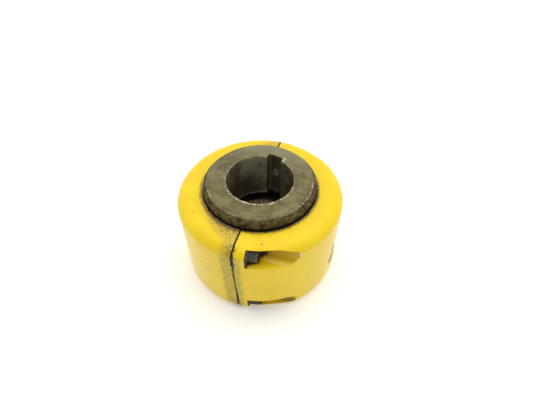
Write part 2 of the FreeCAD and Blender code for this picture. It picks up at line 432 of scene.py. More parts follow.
def thread_hole(radius, start, end, mouth):
    """Cutter for a threaded hole with the mouth's loops before it; its grooves go outward from radius."""
    inner = threaded(radius, radius + THREAD_DEPTH, start, end)
    return skin("thread_hole", mouth + inner[1:-1] + [ring_at(radius, end)])


def make_hub(name, length, screw_depth, seed):
    """Hub with jaws and threaded set-screw hole, in the upper hub's place."""
    hub = skin(name, hub_loops(length, seed), ring=True)
    jaws = [jaw(KEY_ANGLE + JAW_PITCH / 2 + 2 * JAW_PITCH * i) for i in range(JAWS)]
    combine(hub, [joined(jaws)], "UNION")
    radius = CAP_THREAD_R + SET_HOLE_GAP
    hole = thread_hole(radius, 0, HUB_R - BORE_R + 3, [ring_at(radius, -1), ring_at(radius, 0)])
    along_key(hole, FACE_Z + length - screw_depth, BORE_R + 1)
    return combine(hub, [hole], "DIFFERENCE")


# ---------------------------------------------------------------- screws


def hexagon_ring(across_flats, z, segments=ROUND):
    """Hexagon with as many points as the circles, so that loops can join."""

    def radius(angle):
        return across_flats / 2 / math.cos((angle + math.pi / 6) % (math.pi / 3) - math.pi / 6)

    return [polar(radius(a), a, z) for a in turns(segments)]


def socket_loops(across_flats, top, depth, rim_r, segments=ROUND):
    """Flat rim, countersunk hexagon socket and its drill-point bottom."""
    mouth = across_flats / 2 * 1.17
    loops = [ring_at(r, top, segments) for r in (rim_r, (rim_r + mouth) / 2, mouth)]
    depths = (0.45, depth * 0.35, depth * 0.7, depth)
    loops += [hexagon_ring(across_flats, top - down, segments) for down in depths]
    bottom = top - depth
    point = ((across_flats * 0.42, bottom - 0.1), (0.2, bottom - 0.9))
    return loops + [ring_at(r, z, segments) for r, z in point]


def make_cap_screw(name):
    """Socket head cap screw: rolled thread, knurled head, hexagon socket."""
    low, high = box_mm(name)
    length = high.x - low.x
    seat = length - CAP_HEAD_LENGTH
    head_r = (high.z - low.z) / 2
    body_r = CAP_THREAD_R - 0.02

    def rings(*rows):
        return [ring_at(r, z, HEAD_ROUND) for r, z in rows]

    def knurled(z, depth):
        waves = [(a, 0.5 - 0.5 * math.cos(KNURLS * a)) for a in turns(HEAD_ROUND)]
        return [polar(head_r - depth * wave, a, z) for a, wave in waves]

    loops = rings((0.5, 0), (CAP_THREAD_R - 0.9, 0), (CAP_THREAD_R - 0.15, 0.8))
    loops += threaded(body_r, CAP_THREAD_R - THREAD_DEPTH, 1.0, seat - 2.2, 1.2, HEAD_ROUND)
    loops += rings((body_r, seat - 1.0), (CAP_THREAD_R, seat - 0.3), (CAP_THREAD_R + 0.3, seat))
    loops += rings((head_r - 0.5, seat), (head_r - 0.15, seat + 0.1))
    loops += [knurled(seat + 0.35, 0.0), knurled(seat + 0.7, 0.22)]
    loops += [knurled(z, 0.22) for z in spaced(seat + 1.6, length - 1.6, 4)]
    loops += [knurled(length - 1.1, 0.2)]
    loops += rings((head_r - 0.1, length - 0.7), (head_r - 0.35, length - 0.25))
    loops += rings((head_r - 0.75, length - 0.03))
    loops += socket_loops(CAP_HEX, length, CAP_SOCKET_DEPTH, head_r - 1.1, HEAD_ROUND)
    screw = skin(name, loops)
    lay = Matrix.Translation(Vector((low.x, (low.y + high.y) / 2, (low.z + high.z) / 2)))
    screw.data.transform(lay @ Matrix.Rotation(math.pi / 2, 4, "Y"))
    return screw


def make_set_screw(name, depth, length_of_hub):
    """Cup-point set screw with a full thread, in the upper hub's place."""
    length = SET_SCREW_LENGTH
    cup = ((0.25, 1.4), (1.4, 0.8), (2.45, 0.05), (2.75, 0.0), (3.1, 0.12), (CAP_THREAD_R - 0.12, 0.85))
    loops = [ring_at(r, z) for r, z in cup]
    loops += threaded(CAP_THREAD_R - 0.02, CAP_THREAD_R - THREAD_DEPTH, 1.0, length - 0.9, 0.5)
    loops += [ring_at(CAP_THREAD_R - 0.15, length - 0.6), ring_at(CAP_THREAD_R - 0.6, length - 0.1)]
    loops += socket_loops(SET_HEX, length, SET_SOCKET_DEPTH, CAP_THREAD_R - 0.8)
    return along_key(skin(name, loops), FACE_Z + length_of_hub - depth, SET_SCREW_POINT)


# ---------------------------------------------------------------- cover


def cover_profile():
    """Closed (radius, height) outline of the cover's wall."""
    flat_r = COVER_R - SHOULDER_RADIAL
    high = COVER_HIGH.z
    middle = COVER_MIDDLE
    shoulder = high - SHOULDER_AXIAL
    roof = middle + CAVITY_HALF

    def upper_half():
        points = [(COVER_R, z) for z in spaced(middle, shoulder - 0.9, 38)]
        points += [(COVER_R - 0.03, shoulder - 0.3), (COVER_R - 0.16, shoulder + 0.12)]
        start = math.asin((SHOULDER_R - SHOULDER_AXIAL) / SHOULDER_R) + 0.06
        for turn in spaced(start, math.pi / 2, 14):
            points.append((flat_r + SHOULDER_R * math.cos(turn), high - SHOULDER_R * (1 - math.sin(turn))))
        points += [(r, high) for r in spaced(flat_r - 1, END_HOLE_R + 1.6, 12)]
        points += [(END_HOLE_R + out, high - down) for out, down in ((0.9, 0.02), (0.45, 0.16), (0.12, 0.5))]
        points += [(END_HOLE_R, z) for z in spaced(high - 1.1, roof + 0.5, 6)]
        points += [(END_HOLE_R + 0.4, roof)]
        points += [(r, roof) for r in spaced(END_HOLE_R + 3, CAVITY_R - 2, 4)]
        points += [(CAVITY_R - 0.6, roof - 0.6), (CAVITY_R, roof - 2)]
        points += [(CAVITY_R, z) for z in spaced(roof - 5, middle, 5)[:-1]]
        return points

    upper = upper_half()
    lower = [(r, 2 * middle - z) for r, z in reversed(upper[1:])]
    return upper + lower


def cover_half(name, side, seed):
    """Half of the cover wall before its pockets and holes; side is 1 for +X and -1 for -X."""
    profile = cover_profile()
    loops = []
    for column in range(COVER_COLUMNS + 1):
        loop = []
        for r, z in profile:
            lean = math.asin(SEAM_X / r)
            angle = -math.pi / 2 + lean + (math.pi - 2 * lean) * column / COVER_COLUMNS
            x, y, _ = polar(r, angle, z)
            loop.append((side * x, y, z))
        loops.append(loop)
    half = skin(name, loops)

    def casting(point):
        if abs(point.x) <= SEAM_X + 0.2:
            return Vector()
        wave = min(0.0, 0.05 * rough(*point, 14, seed) + 0.025 * rough(*point, 5, seed) - 0.06)
        outer = smooth_step(math.hypot(point.x, point.y), CAVITY_R - 6, CAVITY_R + 2)
        return Vector((point.x, point.y, 0)).normalized() * wave * outer

    move_points(half, casting)
    return half


def pocket_cutter(y, z, seat):
    """Milled slot along X from the screw seat, open outward, with a round inner end."""
    outward = 1 if y > 0 else -1

    def outline(inset, x):
        r = POCKET_R - inset
        ring = [(x, y - outward * r * math.sin(a), z + r * math.cos(a)) for a in spaced(0, math.pi, 25)]
        far = y + outward * COVER_R
        ring += [(x, y + outward * COVER_R * share, z - r) for share in spaced(0, 1, 6)]
        ring += [(x, far, z - r + 2 * r * share) for share in (0.25, 0.5, 0.75)]
        ring += [(x, y + outward * COVER_R * share, z + r) for share in spaced(1, 0, 6)]
        return ring[:-1]

    xs = [(0.6, seat), (0.18, seat + 0.18), (0.0, seat + 0.6)]
    xs += [(0.0, x) for x in spaced(seat + 2, COVER_R + 5, 26)]
    return skin("pocket", [outline(inset, x) for inset, x in xs])


def hole_cutter(radius, x0, x1, y, z):
    """Plain round hole along X."""
    loops = [[(x, y + py, z + pz) for py, pz, _ in ring_at(radius, 0, 40)] for x in spaced(x0, x1, 4)]
    return skin("hole", loops)


def tapped_cutter(y, z):
    """Blind threaded hole that opens on the seam, with a countersunk mouth."""
    radius = CAP_THREAD_R + TAPPED_GAP
    mouth = [ring_at(radius + 0.9, -0.4), ring_at(radius + 0.9, 0.8), ring_at(radius, 1.8)]
    cutter = thread_hole(radius, 1.9, TAPPED_DEPTH, mouth)
    lay = Matrix.Translation(Vector((0.6, y, z))) @ Matrix.Rotation(-math.pi / 2, 4, "Y")
    cutter.data.transform(lay)
    return cutter


def label_cutter():
    """Shallow round recess on the +X side, as deep all over as the wall is curved."""
    floor = COVER_R - LABEL_DEPTH
    floor_r = LABEL_R - 0.25

    def ring(radius, depth):
        loop = []
        for a in turns(LABEL_ROUND):
            lean = math.asin(radius * math.cos(a) / COVER_R)
            loop.append(polar(depth, lean, LABEL_Z + radius * math.sin(a)))
        return loop

    loops = [ring(share * floor_r, floor) for share in (0.05, 0.3, 0.6, 0.85, 1.0)]
    return skin("label", loops + [ring(LABEL_R, floor + 0.25), ring(LABEL_R + 0.1, COVER_R + 3)])


def cap_places():
    """Name, centre y, centre z and seat x of each cap screw."""
    places = []
    for place in CAP_PLACES:
        low, high = box_mm(f"cap_screw_{place}")
        places.append((place, (low.y + high.y) / 2, (low.z + high.z) / 2, high.x - CAP_HEAD_LENGTH))
    return places


def seam_drift(z):
    """How far the joint line has run towards +X at a height, for the outside of the cover."""
    return SEAM_DRIFT * smooth_step(-z, -DRIFT_START, -DRIFT_END)


def seam_wear(side, seed):
    """Shift that wanders and chips the seam edges of a half, so that the joint line is uneven."""

    def shift(point):
        reach = math.hypot(point.x, point.y)
        if abs(point.x) > SEAM_REACH or reach < END_HOLE_R - 0.5:
            return Vector()
        outside = smooth_step(reach, COVER_R - 2.5, COVER_R - 0.8)
        top = smooth_step(abs(point.z - COVER_MIDDLE), COVER_HALF - 2.5, COVER_HALF - 0.8)
        skin_share = max(outside, top)
        wander = seam_drift(point.z) * outside
        place = (point.y, point.z)
        wander += 0.5 * rough(*place, 0.0, 9.0, 1.5) + 0.3 * rough(*place, 0.0, 3.4, 4.5)
        bite = 0.6 * rough(*place, seed, 4.2, seed) + 0.7 * rough(*place, seed, 1.7, seed + 3)
        kink = smooth_step(point.z, 56, 62) * outside
        foot = smooth_step(-point.z, -22, -8) * outside
        edge = max(-0.40, min(1.0, bite - 0.27 + 0.32 * kink + 0.32 * foot))
        all_near = 1 - smooth_step(abs(point.x), SEAM_X + 0.4, SEAM_REACH)
        edge_near = 1 - smooth_step(abs(point.x), SEAM_X + 0.4, 2.4)
        return Vector(((wander * all_near + side * edge * edge_near) * skin_share, 0, 0))

    return shift


def make_pocketed_half():
    """+X half with screw pockets, clearance holes and the blank label recess."""
    half = cover_half("cover_half_pocketed_detail", side=1, seed=3.7)
    cutters = []
    for _, y, z, seat in cap_places():
        hole = hole_cutter(CLEARANCE_HOLE_R, -1, seat + 2, y, z)
        cutters.append(combine(pocket_cutter(y, z, seat), [hole], "UNION"))
    combine(half, [joined(cutters)], "DIFFERENCE")
    combine(half, [label_cutter()], "DIFFERENCE")
    soften_edges(half, COVER_EDGE, 28)
    move_points(half, seam_wear(side=1, seed=5.1))
    return half


def make_tapped_half():
    """-X half with blind tapped holes."""
    half = cover_half("cover_half_tapped_detail", side=-1, seed=8.2)
    combine(half, [joined([tapped_cutter(y, z) for _, y, z, _ in cap_places()])], "DIFFERENCE")
    soften_edges(half, COVER_EDGE, 50)
    move_points(half, seam_wear(side=-1, seed=2.3))
    return half


# ---------------------------------------------------------------- cushions


def cushion_space(name):
    """Lowest and highest radius, azimuth and height of a cushion's CAD solid."""
    points = [Vector(v.co) / MM for v in frame["nodes"][name].data.vertices]
    centre = sum(points, Vector()) / len(points)
    middle = math.atan2(centre.y, centre.x)
    radii = [math.hypot(p.x, p.y) for p in points]
    apart = [(math.atan2(p.y, p.x) - middle + math.pi) % TAU - math.pi for p in points]
    heights = [p.z for p in points]
    return min(radii), max(radii), middle + min(apart), middle + max(apart), min(heights), max(heights)


def rounded_square(step):
    """Point on the outline of a square from -1 to 1 with rounded corners."""
    side, along = divmod(step, CUSHION_STEPS)
    u = -1 + 2 * along / CUSHION_STEPS
    a, b = ((u, -1), (1, u), (-u, 1), (-1, -u))[side]
    corner = (abs(a) ** 8 + abs(b) ** 8) ** (1 / 8)
    return a / corner, b / corner


def make_cushion(name):
    """Rubber block between two jaws, built inside its CAD solid: rounded and slightly crowned."""
    inner_r, outer_r, start, end, low, high = cushion_space(name)
    loops = []
    for row in range(CUSHION_STEPS + 1):
        t = math.cos(math.pi * (1 - row / CUSHION_STEPS)) / 2 + 0.5
        edge = CUSHION_EDGE * (1 - math.sqrt(max(0.0, 1 - (2 * abs(t - 0.5)) ** 6)))
        loop = []
        for step in range(4 * CUSHION_STEPS):
            a, b = rounded_square(step)
            radius = (outer_r + inner_r) / 2 + ((outer_r - inner_r) / 2 - edge) * a
            half_turn = (end - start) / 2 - edge / CUSHION_MIDDLE_R
            angle = (start + end) / 2 + half_turn * b * (1 - CUSHION_CROWN * (1 - a * a))
            loop.append(polar(radius, angle, low + (high - low) * t))
        loops.append(loop)
    return skin(name, loops)


# ---------------------------------------------------------------- materials


class Shader:
    """One material's node tree, in millimetres; coats are laid over its colour one after another."""

    def __init__(self, name):
        self.material = bpy.data.materials.new(name)
        self.material.use_nodes = True
        self.tree = self.material.node_tree
        self.surface = self.tree.nodes["Principled BSDF"]
        self.colour = (1, 1, 1)
        metres = self.node("TexCoord", {}).outputs["Object"]
        self.place = self.node("VectorMath", {0: metres, "Scale": 1 / MM}, operation="SCALE").outputs[0]
        self.x, self.y, self.z = self.node("SeparateXYZ", {0: self.place}).outputs
        self.r = self.hypot(self.x, self.y)

    def node(self, kind, given, **settings):
        """New shader node with its settings, and its sockets filled in by name or number."""
        node = self.tree.nodes.new("ShaderNode" + kind)
        for name, value in settings.items():
            setattr(node, name, value)
        for name, value in given.items():
            self.set(node.inputs[name], value)
        return node

    def set(self, socket, value):
        """Links a socket, or sets a number or colour."""
        if isinstance(value, bpy.types.NodeSocket):
            self.tree.links.new(value, socket)
        elif socket.type == "RGBA":
            socket.default_value = (*value, 1)
        else:
            socket.default_value = value

    def math(self, operation, a, b=0):
        """Result of a math node."""
        return self.node("Math", {0: a, 1: b}, operation=operation).outputs[0]

    def times(self, a, b):
        return self.math("MULTIPLY", a, b)

    def plus(self, a, b):
        return self.math("ADD", a, b)

    def minus(self, a, b):
        return self.math("SUBTRACT", a, b)

    def absolute(self, a):
        return self.math("ABSOLUTE", a)

    def hypot(self, a, b):
        return self.math("SQRT", self.plus(self.times(a, a), self.times(b, b)))

    def step(self, value, low, high):
        """0 at low, 1 at high, smooth between; low may be the larger."""
        given = dict(enumerate((value, low, high, 0, 1)))
        return self.node("MapRange", given, interpolation_type="SMOOTHSTEP").outputs[0]

    def mask(self, given):
        """A mask as it is, or a step made from (value, low, high)."""
        return self.step(*given) if isinstance(given, tuple) else given

    def noise(self, size, detail=4, roughness=0.55, squash=(1, 1, 1)):
        """Noise from 0 to 1 with features of a size, stretched by squash below 1."""
        place = self.node("VectorMath", {0: self.place, 1: squash}, operation="MULTIPLY").outputs[0]
        shape = {"Vector": place, "Scale": 1 / size, "Detail": detail, "Roughness": roughness}
        return self.node("TexNoise", shape).outputs["Fac"]

    def patches(self, low, high, *shape, **squash):
        """Noise turned into patches: 0 where it is below low, 1 above high."""
        return self.step(self.noise(*shape, **squash), low, high)

    def wobble(self, reach, *shape, **squash):
        """Noise centred on 0 with a full range of reach."""
        return self.times(self.minus(self.noise(*shape, **squash), 0.5), reach)

    def turning(self, spacing):
        """Concentric lathe marks: noise along the radius and the height."""
        place = self.node("CombineXYZ", {0: self.r, 1: self.z}).outputs[0]
        return self.node("TexNoise", {"Vector": place, "Scale": 1 / spacing, "Detail": 2}).outputs["Fac"]

    def mix(self, share, a, b):
        """Colour a at 0, colour b at 1."""
        node = self.node("Mix", {0: share}, data_type="RGBA")
        colours = [socket for socket in node.inputs if socket.type == "RGBA"]
        self.set(colours[0], a)
        self.set(colours[1], b)
        return [socket for socket in node.outputs if socket.type == "RGBA"][0]

    def tint(self, colour, mask, tint, strength=1):
        """A colour with a tint over it where the mask is 1."""
        share = self.mask(mask)
        return self.mix(share if strength == 1 else self.times(share, strength), colour, tint)

    def coat(self, mask, tint, strength=1):
        """Lays a tint over the material's colour where the mask is 1."""
        self.colour = self.tint(self.colour, mask, tint, strength)

    def blend(self, share, a, b):
        """Number a at 0, number b at 1."""
        return self.plus(self.times(share, self.minus(b, a)), a)

    def both(self, *masks):
        """Product of the masks."""
        result = self.mask(masks[0])
        for mask in masks[1:]:
            result = self.times(result, self.mask(mask))
        return result

    def either(self, *masks):
        """Largest of the masks."""
        result = self.mask(masks[0])
        for mask in masks[1:]:
            result = self.math("MAXIMUM", result, self.mask(mask))
        return result

    def spot(self, centre, radius, ragged=0.35):
        """Irregular spot round a point, in millimetres."""
        apart = self.node("VectorMath", {0: self.place, 1: centre}, operation="DISTANCE").outputs["Value"]
        edge = self.plus(apart, self.wobble(4 * ragged * radius, radius * 0.6))
        return self.step(edge, radius, radius * 0.55)

    def bump(self, height, distance, strength, below=None):
        """Bump of a height field, laid over the one below it."""
        given = {"Strength": strength, "Distance": distance * MM, "Height": height}
        if below is not None:
            given["Normal"] = below
        return self.node("Bump", given).outputs[0]

    def finish(self, roughness, metallic=0, normal=None, **constants):
        """Fills in the surface's sockets and gives the material."""
        given = {"Base Color": self.colour, "Roughness": roughness, "Metallic": metallic}
        if normal is not None:
            given["Normal"] = normal
        given.update({name.replace("_", " "): value for name, value in constants.items()})
        for name, value in given.items():
            self.set(self.surface.inputs[name], value)
        return self.material


def bore_wall(s, depth):
    """Olive film, rust and faint marks along the axis on the bore's wall, with a painted light patch and painted
    shade on one side wall of the keyway.
    """
    bore = s.both((s.r, KEY_FLOOR + 0.5, KEY_FLOOR + 0.1), (depth, 0.35, 1.2))
    clouds = s.noise(8, 5, 0.6, squash=(1, 1, 0.5))
    wall = s.mix(s.step(clouds, 0.34, 0.66), (0.08, 0.068, 0.036), (0.215, 0.19, 0.108))
    streaks = s.patches(0.5, 0.7, 1.2, 4, 0.6, squash=(1, 1, 0.1))
    wall = s.tint(wall, streaks, (0.05, 0.04, 0.022), 0.3)
    # painted light: a lighter patch high on the back-left of the bore wall
    painted_lit_patch = s.both((s.y, 9, 19), (s.x, 2, -3), (s.z, 52, 66))
    wall = s.tint(wall, painted_lit_patch, (0.39, 0.355, 0.215), 0.8)
    # rust low on the left, on the right of the keyway and in patches
    low_left = s.both((s.x, -4, -17), (s.z, 78, 60))
    right = s.both((s.x, 9, 14), s.patches(0.42, 0.58, 5, 5, 0.65))
    patchy = s.patches(0.52, 0.62, 9, 6, 0.65)
    rust = s.either(low_left, s.times(right, 0.8), s.times(patchy, 0.6))
    wall = s.tint(wall, rust, (0.052, 0.031, 0.014), 0.9)
    slot = s.step(s.r, BORE_R + 0.3, BORE_R + 1.1)
    wall = s.tint(wall, slot, (0.06, 0.05, 0.032), 0.75)
    across_key = s.minus(s.times(s.x, KEY_Y), s.times(s.y, KEY_X))
    # painted shade on one side wall of the keyway
    shaded_key_wall = s.both(slot, (across_key, KEY_HALF_WIDTH - 0.5, KEY_HALF_WIDTH - 0.2))
    wall = s.tint(wall, shaded_key_wall, (0.012, 0.01, 0.007), 0.85)
    s.coat(bore, wall)


def inner_crust_and_shade(s, depth, side):
    """Painted shade, black on the inner face and jaws in the gap between the hubs, and pinkish crust in the lower
    hub's bore.
    """
    start, full = (UPPER_LENGTH - 2.5, UPPER_LENGTH - 1) if side > 0 else (5, 12)
    inner = s.step(depth, start, full)
    crust = s.mix(s.patches(0.4, 0.62, 2.2, 6, 0.72), (0.16, 0.085, 0.042), (0.74, 0.52, 0.34))
    # painted shade: black away from the bore, in the gap between the hubs
    shaded_off_bore = s.step(s.r, BORE_R + 2.6, BORE_R + 5)
    crust = s.tint(crust, shaded_off_bore, s.mix(s.noise(3, 5), (0.01, 0.007, 0.005), (0.05, 0.034, 0.02)))
    s.coat(inner, crust, 0.9)


def bright_edges(s, depth):
    """Torn metal on the bore's edge, in front, on the left and beside the keyway; gives its mask."""
    ahead = s.step(s.y, -15, -21)
    left = s.both((s.x, -19, -23), (s.y, 13, 6), 0.3)
    right_front = s.both((s.x, 16, 20), (s.y, 4, -4), 0.6)
    corner_x = KEY_CORNER * KEY_X + KEY_HALF_WIDTH * KEY_Y
    corner_y = KEY_CORNER * KEY_Y - KEY_HALF_WIDTH * KEY_X
    torn = s.both(s.patches(0.47, 0.53, 1.5, 6, 0.85), s.patches(0.42, 0.5, 3.5, 3, 0.5))
    place = s.times(s.either(ahead, left, right_front), s.patches(0.36, 0.46, 5, 3, 0.5))
    teeth = s.plus(s.r, s.wobble(9, 1.3, 5, 0.8))
    mouth = s.both((teeth, BORE_R + 1.9, BORE_R + 1.4), (s.r, BORE_R + 3.8, BORE_R + 3))
    mouth = s.both(mouth, (depth, 0.9, 0.3), place, torn)
    corner = s.spot((corner_x, corner_y, TOP_Z), 2.9, 0.5)
    corner = s.both(corner, (depth, 1.8, 0.8), s.patches(0.44, 0.54, 0.8, 5, 0.8))
    # bright rim where it is knocked
    edge_near = s.absolute(s.minus(s.r, HUB_R - HUB_RIM + 0.1))
    rim = s.both((edge_near, 0.8, 0.2), s.patches(0.48, 0.58, 1.5, 6, 0.8), (depth, 1.5, 0.6))
    rim = s.both(rim, s.patches(0.46, 0.6, 6, 3, 0.5), s.patches(0.4, 0.52, 0.7, 4, 0.8))
    nicks = s.both(s.patches(0.68, 0.74, 1.1, 3, 0.6), (depth, 0.3, 0.1))
    bright = s.either(mouth, corner, s.times(rim, 0.7), s.times(nicks, 0.45))
    s.coat(bright, (0.66, 0.6, 0.42), 0.95)
    return bright


def hub_steel(name, top, side):
    """Oxidised machined steel; top is the outer end's height and side 1 if it faces up."""
    s = Shader(name)
    depth = s.times(s.minus(top, s.z), side)
    blotch = s.noise(8, 5, 0.6)
    fine = s.noise(0.9, 5, 0.7)
    grain = s.noise(0.35, 3, 0.6)
    face = s.mix(s.step(blotch, 0.38, 0.64), (0.096, 0.078, 0.024), (0.19, 0.163, 0.066))
    face = s.tint(face, s.patches(0.46, 0.6, 15, 4, 0.6), (0.15, 0.12, 0.048), 0.45)
    face = s.tint(face, s.patches(0.48, 0.68, 1.9, 5, 0.7), (0.078, 0.06, 0.026), 0.35)
    face = s.tint(face, (fine, 0.54, 0.72), (0.27, 0.24, 0.14), 0.35)
    # painted light: the face lighter towards the back
    face = s.tint(face, (s.y, 10, 38), (0.26, 0.24, 0.135), 0.6)
    face = s.tint(face, (s.turning(0.45), 0.52, 0.7), (0.26, 0.23, 0.14), 0.25)
    # brown film on the chamfer and grease with painted shade towards the cover, with golden patches
    ragged = s.wobble(1.6, 3)
    band = s.step(s.plus(depth, ragged), 0.25, 1.3)
    film = s.mix(s.patches(0.4, 0.62, 3.8, 5, 0.6), (0.04, 0.027, 0.01), (0.14, 0.1, 0.034))
    gold = s.both(s.patches(0.56, 0.66, 5, 5, 0.65), (depth, 1.5, 3.5))
    film = s.tint(film, gold, (0.34, 0.225, 0.04), 0.7)
    outside = s.step(s.r, HUB_R - 3.6, HUB_R - 2.8)
    s.colour = s.mix(s.both(band, outside), face, film)
    tide = s.plus(depth, s.wobble(4.5, 2.4, 6, 0.75))
    # grease and painted shade where the hub goes into the cover
    grease_and_gap_shade = s.both((tide, 6.7, 7.7), outside)
    s.coat(grease_and_gap_shade, (0.01, 0.007, 0.004))
    bore_wall(s, depth)
    inner_crust_and_shade(s, depth, side)
    bright = bright_edges(s, depth)
    roughness = s.blend(s.both(band, outside), s.blend(bright, s.blend(blotch, 0.42, 0.62), 0.36), 0.8)
    height = s.plus(s.times(fine, 0.6), s.times(s.turning(0.35), 0.5))
    normal = s.bump(height, 0.07, 0.8, s.bump(grain, 0.02, 0.5))
    return s.finish(roughness, 0.3, normal, Specular_IOR_Level=0.3)


def seam_film(s, side, from_middle):
    """Grey film each side of the seam, streaked along the axis; gives its mask and its raggedness."""
    on_wall = s.step(s.r, COVER_R - 1.2, COVER_R - 0.3)
    on_wall = s.both(on_wall, (from_middle, COVER_HALF - 4, COVER_HALF - 7))
    ragged = s.minus(s.noise(7, 5, 0.6, squash=(1, 1, 0.2)), 0.5)
    edge = s.plus(s.times(s.x, side), s.times(ragged, 7))
    wide = 11.5 if side < 0 else 8.5
    streak = s.patches(0.22, 0.68, 1.5, 6, 0.75, squash=(1, 1, 0.16))
    film = s.both((edge, wide, wide - 5), on_wall, s.blend(streak, 0.45, 1))
    s.coat(film, (0.35, 0.32, 0.1), 0.55)
    specks = s.both(film, s.patches(0.52, 0.58, 1.1, 5, 0.85, squash=(1, 1, 0.35)))
    s.coat(specks, (0.08, 0.07, 0.022), 0.85)
    return film, ragged


def handling_dirt(s, out, from_middle):
    """Brown dirt between hub and seam on the flat end, thickest by the hub."""
    reach = s.plus(out, s.wobble(12, 8, 4))
    limit = s.blend(s.step(s.r, 44, 60), 40, 12)
    front = s.step(s.absolute(s.y), 22, 34)
    smear = s.step(reach, limit, s.times(limit, 0.3))
    smear = s.both(smear, front, (from_middle, COVER_HALF - 6, COVER_HALF - 4))
    thick = s.blend(s.step(s.r, 56, 45), 0.55, 1)
    grit = s.patches(0.47, 0.53, 1.6, 6, 0.85, squash=(1, 0.5, 1))
    fine_grit = s.patches(0.5, 0.57, 0.7, 5, 0.85)
    s.coat(s.both(smear, thick, 0.4), (0.46, 0.32, 0.09))
    s.coat(s.both(smear, s.either(grit, fine_grit), thick, 0.75), (0.2, 0.135, 0.042))


def hub_grease_and_shade(s, side, from_middle, flat):
    """Grease and painted shade round the hub and bare metal on the hole's edge; gives the mask of the grease and
    shade.
    """
    collar = s.plus(s.r, s.wobble(9, 1.5, 6, 0.85))
    in_hole = s.step(from_middle, CAVITY_HALF - 1, CAVITY_HALF)
    spread = 3.6 if side < 0 else 2.9
    fringe = s.both((collar, END_HOLE_R + spread, END_HOLE_R + spread - 1), in_hole)
    flecks = s.blend(s.patches(0.45, 0.52, 0.9, 6, 0.9), 0.25, 1)
    s.coat(s.both(fringe, flecks, 0.9), (0.095, 0.058, 0.018))
    # grease and painted shade in the gap round the hub
    greasy_and_gap_shade = s.both((collar, END_HOLE_R + 1.3, END_HOLE_R + 0.7), in_hole)
    s.coat(greasy_and_gap_shade, (0.03, 0.019, 0.009))
    bare = s.step(s.r, END_HOLE_R + 1.6, END_HOLE_R + 1)
    bare = s.both(bare, (s.r, END_HOLE_R + 0.2, END_HOLE_R + 0.5), flat, s.patches(0.5, 0.58, 7, 3))
    s.coat(bare, (0.25, 0.23, 0.16), 0.75)
    return greasy_and_gap_shade


def joint_line(s, out):
    """Dark joint line of uneven width."""
    uneven = s.wobble(3.2, 1.8, 6, 0.8)
    kink = s.both((s.z, 56, 61), (s.z, 74, 71))
    broad = s.times(s.either(kink, (s.z, 24, 12)), 0.7)
    joint = s.step(s.minus(s.plus(out, uneven), broad), SEAM_X + 0.5, SEAM_X - 0.1)
    joint = s.both(joint, (out, SEAM_X + 3.2, SEAM_X + 1.4))
    s.coat(joint, (0.026, 0.017, 0.008), 0.9)


def unpainted_parts(s, from_middle):
    """Grey cavity, dark joint faces and bare screw holes."""
    cavity = s.step(s.r, CAVITY_R + 0.5, CAVITY_R + 0.1)
    cavity = s.both(cavity, (from_middle, CAVITY_HALF + 0.4, CAVITY_HALF))
    s.coat(cavity, s.mix(s.noise(3, 4), (0.09, 0.085, 0.075), (0.22, 0.21, 0.19)))
    faces = s.step(s.absolute(s.x), SEAM_X + 0.1, SEAM_X + 0.02)
    faces = s.both(faces, (s.r, COVER_R - 1, COVER_R - 1.8))
    s.coat(faces, s.mix(s.noise(4, 5), (0.02, 0.014, 0.007), (0.08, 0.062, 0.035)))
    steel = s.mix(s.noise(2, 4), (0.03, 0.026, 0.02), (0.11, 0.1, 0.08))
    s.coat(screw_holes(s), steel)


